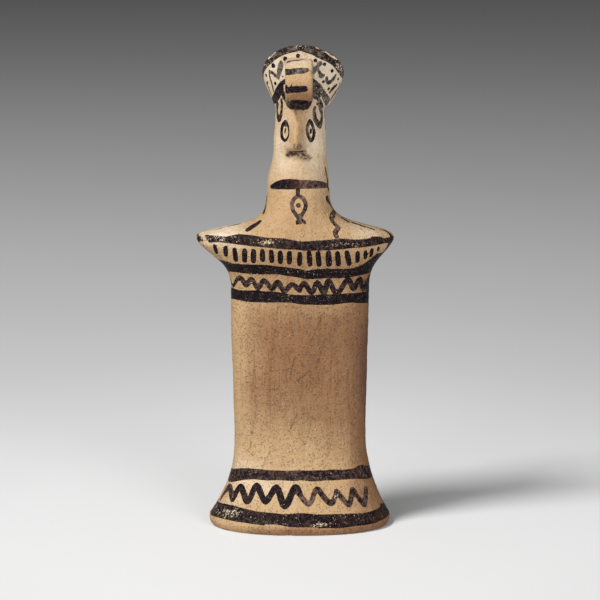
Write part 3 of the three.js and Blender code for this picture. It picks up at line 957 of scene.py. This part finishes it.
class Nodes:
    """A new material, with a helper for each kind of node that it is wired from."""

    def __init__(self, name):
        self.material = bpy.data.materials.new(name)
        self.material.use_nodes = True
        self.tree = self.material.node_tree
        self.tree.nodes.clear()
        self.shader = self.add("ShaderNodeBsdfPrincipled")
        self.add("ShaderNodeOutputMaterial", [self.shader.outputs[0]])
        self.position = self.add("ShaderNodeTexCoord").outputs["Object"]

    def add(self, kind, inputs=(), **settings):
        """A node with its settings, and its inputs by number or by name."""
        node = self.tree.nodes.new(kind)
        for key, value in settings.items():
            setattr(node, key, value)
        for key, value in inputs.items() if isinstance(inputs, dict) else enumerate(inputs):
            self.put(node.inputs[key], value)
        return node

    def put(self, socket, value):
        if isinstance(value, bpy.types.NodeSocket):
            self.tree.links.new(value, socket)
        else:
            socket.default_value = value

    def math(self, operation, *values, clamp=False):
        return self.add("ShaderNodeMath", values, operation=operation, use_clamp=clamp).outputs[0]

    def times(self, a, b):
        return self.math("MULTIPLY", a, b)

    def line(self, value, slope, base):
        return self.math("MULTIPLY_ADD", value, slope, base)

    def range(self, *values):
        return self.add("ShaderNodeMapRange", values, interpolation_type="SMOOTHSTEP").outputs[0]

    def colours(self, factor, a, b):
        return self.add("ShaderNodeMix", {0: factor, 6: a, 7: b}, data_type="RGBA").outputs[2]

    def scaled(self, scale):
        values = (self.position, scale)
        return self.add("ShaderNodeVectorMath", values, operation="MULTIPLY").outputs[0]

    def up(self):
        return self.add("ShaderNodeSeparateXYZ", [self.position]).outputs["Z"]

    def noise(self, scale, detail, rough, position=None):
        inputs = dict(Vector=position or self.position, Scale=scale, Detail=detail, Roughness=rough)
        return self.add("ShaderNodeTexNoise", inputs).outputs["Fac"]

    def cells(self, scale):
        inputs = dict(Vector=self.position, Scale=scale)
        return self.add("ShaderNodeTexVoronoi", inputs).outputs["Distance"]

    def attribute(self, name):
        return self.add("ShaderNodeAttribute", attribute_name=name).outputs["Fac"]


def srgb(red, green, blue):
    def line(value):
        value /= 255
        return value / 12.92 if value <= 0.04045 else ((value + 0.055) / 1.055) ** 2.4
    return (line(red), line(green), line(blue), 1.0)


CLAY_PALE = srgb(202, 188, 166)
CLAY_MIDDLE = srgb(160, 132, 98)
CLAY_BROWN = srgb(120, 89, 65)
# The darkest clay is mostly painted shade.
CLAY_DARK_AND_SHADING = srgb(82, 58, 50)
CLAY_STREAK = srgb(120, 82, 48)
CLAY_GRAIN = srgb(90, 66, 47)
CLAY_PIT = srgb(50, 35, 25)
# Brown for stains and for painted shadows.
STAIN_AND_SHADOW_BROWN = srgb(62, 41, 31)
SLIP_BLACK = srgb(15, 6, 9)
SLIP_GREY = srgb(74, 66, 69)
SLIP_FADED = srgb(100, 80, 69)
SLIP_COOL = srgb(106, 97, 88)
SLIP_BROWN = srgb(80, 50, 37)


# The clay's colours from middling to dark, each with the shades between which it comes in. The darkest
# comes in mostly where painted shade is laid: down the right side of the body, along the bottom edge and
# under the roll.
CLAY_SHADES = [((0, 0.5), CLAY_MIDDLE), ((0.5, 1.05), CLAY_BROWN), ((1.1, 1.7), CLAY_DARK_AND_SHADING)]

# Layers of noise, each with its scale per metre, its detail and its roughness.
PATCHES = (70, 4, 0.6)
WIDE_STREAKS = (380, 3, 0.6)
FINE_STREAKS = (1500, 3, 0.6)
MOTTLE = (420, 4, 0.7)
PORE_ZONES = (500, 3, 0.7)
PIT_ZONES = (260, 1, 0.5)
STAIN_AND_SHADOW_BLOTCHES = (900, 3, 0.7)
CLAY_BUMPS = (900, 3, 0.6)
SHEEN = (1000, 4, 0.8)
SLIP_PATCHES = (75, 2, 0.5)
SLIP_BLOTCHES = (620, 5, 0.8)
FLAKES_AND_GLINTS = (1100, 4, 0.85)
RAGGED_EDGE = (1300, 3, 0.65)
GLOSS = (900, 2, 0.5)

# The streaks' noise is drawn out along the body by these scales.
WIDE_STREAKS_ALONG = (1, 1, 0.07)
FINE_STREAKS_ALONG = (1, 1, 0.05)

# Pores and pits per metre.
PORES = 1050
PITS = 420

# Heights in metres between which something changes: the clay has fewer pores from the shoulders
# up, and the thin slip is cooler on the head than below.
SMOOTHED = (0.112, 0.132)
HEAD_SLIP = (0.156, 0.170)

CLAY_ROUGHNESS = 0.86
SLIP_ROUGHNESS = (0.36, 0.62)
SHINE = 0.06
BUMP_DEPTH = 0.00045


def clay_nodes(n, tone, stain_and_shadow):
    """The bare clay: its colour, with the painted light and shade that its tone and stains carry, and a
    height for its bumps.
    """
    shade = n.math("ADD", n.line(tone, 0.5, 0.5), n.line(n.noise(*PATCHES), 0.45, -0.22))
    clay = CLAY_PALE
    for limits, colour in CLAY_SHADES:
        clay = n.colours(n.range(shade, *limits), clay, colour)
    brushed = n.range(tone, -0.1, 0.9)
    wide_streaks = n.noise(*WIDE_STREAKS, n.scaled(WIDE_STREAKS_ALONG))
    streaked = n.times(n.range(wide_streaks, 0.42, 0.72, 0, 0.45), n.line(brushed, 0.75, 0.25))
    clay = n.colours(streaked, clay, CLAY_STREAK)
    fine_streaks = n.noise(*FINE_STREAKS, n.scaled(FINE_STREAKS_ALONG))
    clay = n.colours(n.times(n.range(fine_streaks, 0.5, 0.72, 0, 0.4), brushed), clay, CLAY_GRAIN)
    clay = n.colours(n.range(n.noise(*MOTTLE), 0.5, 0.75, 0, 0.35), clay, CLAY_STREAK)
    pores = n.range(n.cells(PORES), 0.16, 0.42, 1, 0)
    pores = n.times(pores, n.range(n.noise(*PORE_ZONES), 0.33, 0.58))
    pores = n.times(pores, n.range(n.up(), *SMOOTHED, 1, 0.4))
    clay = n.colours(n.times(pores, n.range(shade, -0.1, 0.6, 0.06, 0.22)), clay, CLAY_GRAIN)
    pits = n.times(n.range(n.cells(PITS), 0, 0.2, 1, 0), n.range(n.noise(*PIT_ZONES), 0.54, 0.6))
    clay = n.colours(n.times(pits, 0.8), clay, CLAY_PIT)
    # Stains, and painted shadow under the nose and round the roll, mixed in as one brown.
    blotched = n.line(n.noise(*STAIN_AND_SHADOW_BLOTCHES), 2.4, -0.5)
    stain_and_shadow = n.math("MULTIPLY", stain_and_shadow, blotched, clamp=True)
    clay = n.colours(stain_and_shadow, clay, STAIN_AND_SHADOW_BROWN)
    height = n.line(n.noise(*CLAY_BUMPS), 1.1, wide_streaks)
    for sunk, depth in ((pores, 0.75), (pits, 0.4), (stain_and_shadow, 0.15)):
        height = n.line(sunk, -depth, height)
    return clay, height


def slip_nodes(n, faded, worn):
    """The dark painted slip: its colour, and how far it has flaked, with glints painted as flaking on
    the crest of the rim.
    """
    # Grey mottling of the slip: partly its own grey patches, partly painted sheen.
    dark = n.colours(n.range(n.noise(*SHEEN), 0.53, 0.66, 0, 0.4), SLIP_BLACK, SLIP_GREY)
    dark = n.colours(n.range(n.noise(*SLIP_PATCHES), 0.54, 0.72, 0, 0.3), dark, SLIP_BROWN)
    blotches = n.line(n.noise(*SLIP_BLOTCHES), 7, -3.5)
    washed = n.line(blotches, n.math("ADD", faded, 0.25), faded)
    thin = n.colours(n.range(n.up(), *HEAD_SLIP), SLIP_FADED, SLIP_COOL)
    dark = n.colours(n.range(washed, 0, 1, 0, 0.9), dark, thin)
    return dark, n.range(n.line(worn, 0.18, n.noise(*FLAKES_AND_GLINTS)), 0.64, 0.67)


def terracotta():
    n = Nodes("terracotta")
    clay, height = clay_nodes(n, n.attribute("tone"), n.attribute("stain_and_shadow"))
    dark, flaked_and_glints = slip_nodes(n, n.attribute("faded"), n.attribute("worn"))
    # Flaked paint shows pale clay; along the crest of the rim this flaking is painted glints.
    clay = n.colours(n.times(flaked_and_glints, 0.5), clay, CLAY_PALE)
    ragged = n.math("SUBTRACT", n.noise(*RAGGED_EDGE), 0.5)
    drawn = n.line(ragged, 0.45, n.attribute("paint"))
    cover = n.times(n.range(drawn, 0.06, -0.06), n.math("SUBTRACT", 1, flaked_and_glints))
    n.put(n.shader.inputs["Base Color"], n.colours(cover, clay, dark))

    gloss = n.range(n.noise(*GLOSS), 0.35, 0.65, *SLIP_ROUGHNESS)
    roughness = n.add("ShaderNodeMix", {0: cover, 2: CLAY_ROUGHNESS, 3: gloss}, data_type="FLOAT")
    n.put(n.shader.inputs["Roughness"], roughness.outputs[0])
    n.put(n.shader.inputs["Specular IOR Level"], SHINE)

    height = n.line(cover, 0.04, height)
    bump = n.add("ShaderNodeBump", dict(Strength=1, Distance=BUMP_DEPTH, Height=height))
    n.put(n.shader.inputs["Normal"], bump.outputs[0])
    return n.material


figurine.data.materials.clear()
figurine.data.materials.append(terracotta())
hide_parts(NODE)
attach(figurine, "root")


# The floor: a wide pale disc whose colour darkens with distance, painted falloff of light like a studio
# sweep's. Each stop is a distance from the figure in metres and how much light the floor gives back
# there.
FLOOR_RADIUS = 12.0
FLOOR_STOPS = [
    (0.0, 0.66), (0.12, 0.64), (0.2, 0.60), (0.34, 0.52), (0.53, 0.47), (0.79, 0.44),
    (1.15, 0.40), (1.67, 0.37), (2.54, 0.33), (3.9, 0.30), (8.0, 0.24),
]


def floor():
    spokes = 96
    turns = [i / spokes * 2 * math.pi for i in range(spokes)]
    points = [(FLOOR_RADIUS * math.cos(a), FLOOR_RADIUS * math.sin(a), 0) for a in turns]
    mesh = bpy.data.meshes.new("floor")
    mesh.from_pydata(points, [], [tuple(range(spokes))])
    made = add_object("floor", mesh)
    n = Nodes("studio_floor")
    # The floor's colour darkens away from the figure: painted falloff of light.
    ramp = n.add("ShaderNodeValToRGB")
    farthest = FLOOR_STOPS[-1][0]
    while len(ramp.color_ramp.elements) < len(FLOOR_STOPS):
        ramp.color_ramp.elements.new(0.5)
    for element, (distance, grey) in zip(ramp.color_ramp.elements, FLOOR_STOPS):
        element.position = math.sqrt(distance / farthest)
        element.color = (grey, grey, grey, 1)
    length = n.add("ShaderNodeVectorMath", [n.position], operation="LENGTH").outputs["Value"]
    share = n.math("SQRT", n.math("DIVIDE", length, farthest, clamp=True))
    n.put(ramp.inputs[0], share)
    n.put(n.shader.inputs["Base Color"], ramp.outputs[0])
    n.put(n.shader.inputs["Roughness"], 0.95)
    n.put(n.shader.inputs["Specular IOR Level"], 0.1)
    made.data.materials.append(n.material)


floor()


def stand(made, place, target):
    """Put something at a place, in metres, facing a target."""
    made.location = place
    aim = Vector(target) - made.location
    made.rotation_euler = aim.to_track_quat("-Z", "Y").to_euler()


# The lights: where each stands and how wide it is, in metres, and its power in watts.
LIGHTS = dict(
    key=((-1.55, -1.03, 2.38), 0.9, 94.0),
    fill=((0.75, -1.4, 0.35), 0.9, 18.0),
    front=((-0.9, -1.3, 0.5), 1.1, 14.0),
)
for name, (place, size, power) in LIGHTS.items():
    light = bpy.data.lights.new(name, "AREA")
    light.shape = "DISK"
    light.size = size
    light.energy = power
    stand(add_object(name, light), place, (0, 0, AIM_HEIGHT * MM))

world = bpy.data.worlds.new("studio")
world.use_nodes = True
background = world.node_tree.nodes["Background"]
background.inputs[0].default_value = (1, 1, 1, 1)
background.inputs[1].default_value = 0.2
bpy.context.scene.world = world
bpy.context.scene.view_settings.view_transform = "Standard"

lens = bpy.data.cameras.new("camera")
lens.sensor_width = 36
lens.lens = PHOTO_FOCAL / PHOTO_SIDE * lens.sensor_width
camera = add_object("camera", lens)
stand(camera, CAMERA_PLACE * MM, (AIM_ACROSS * MM, 0, AIM_HEIGHT * MM))
bpy.context.scene.camera = camera
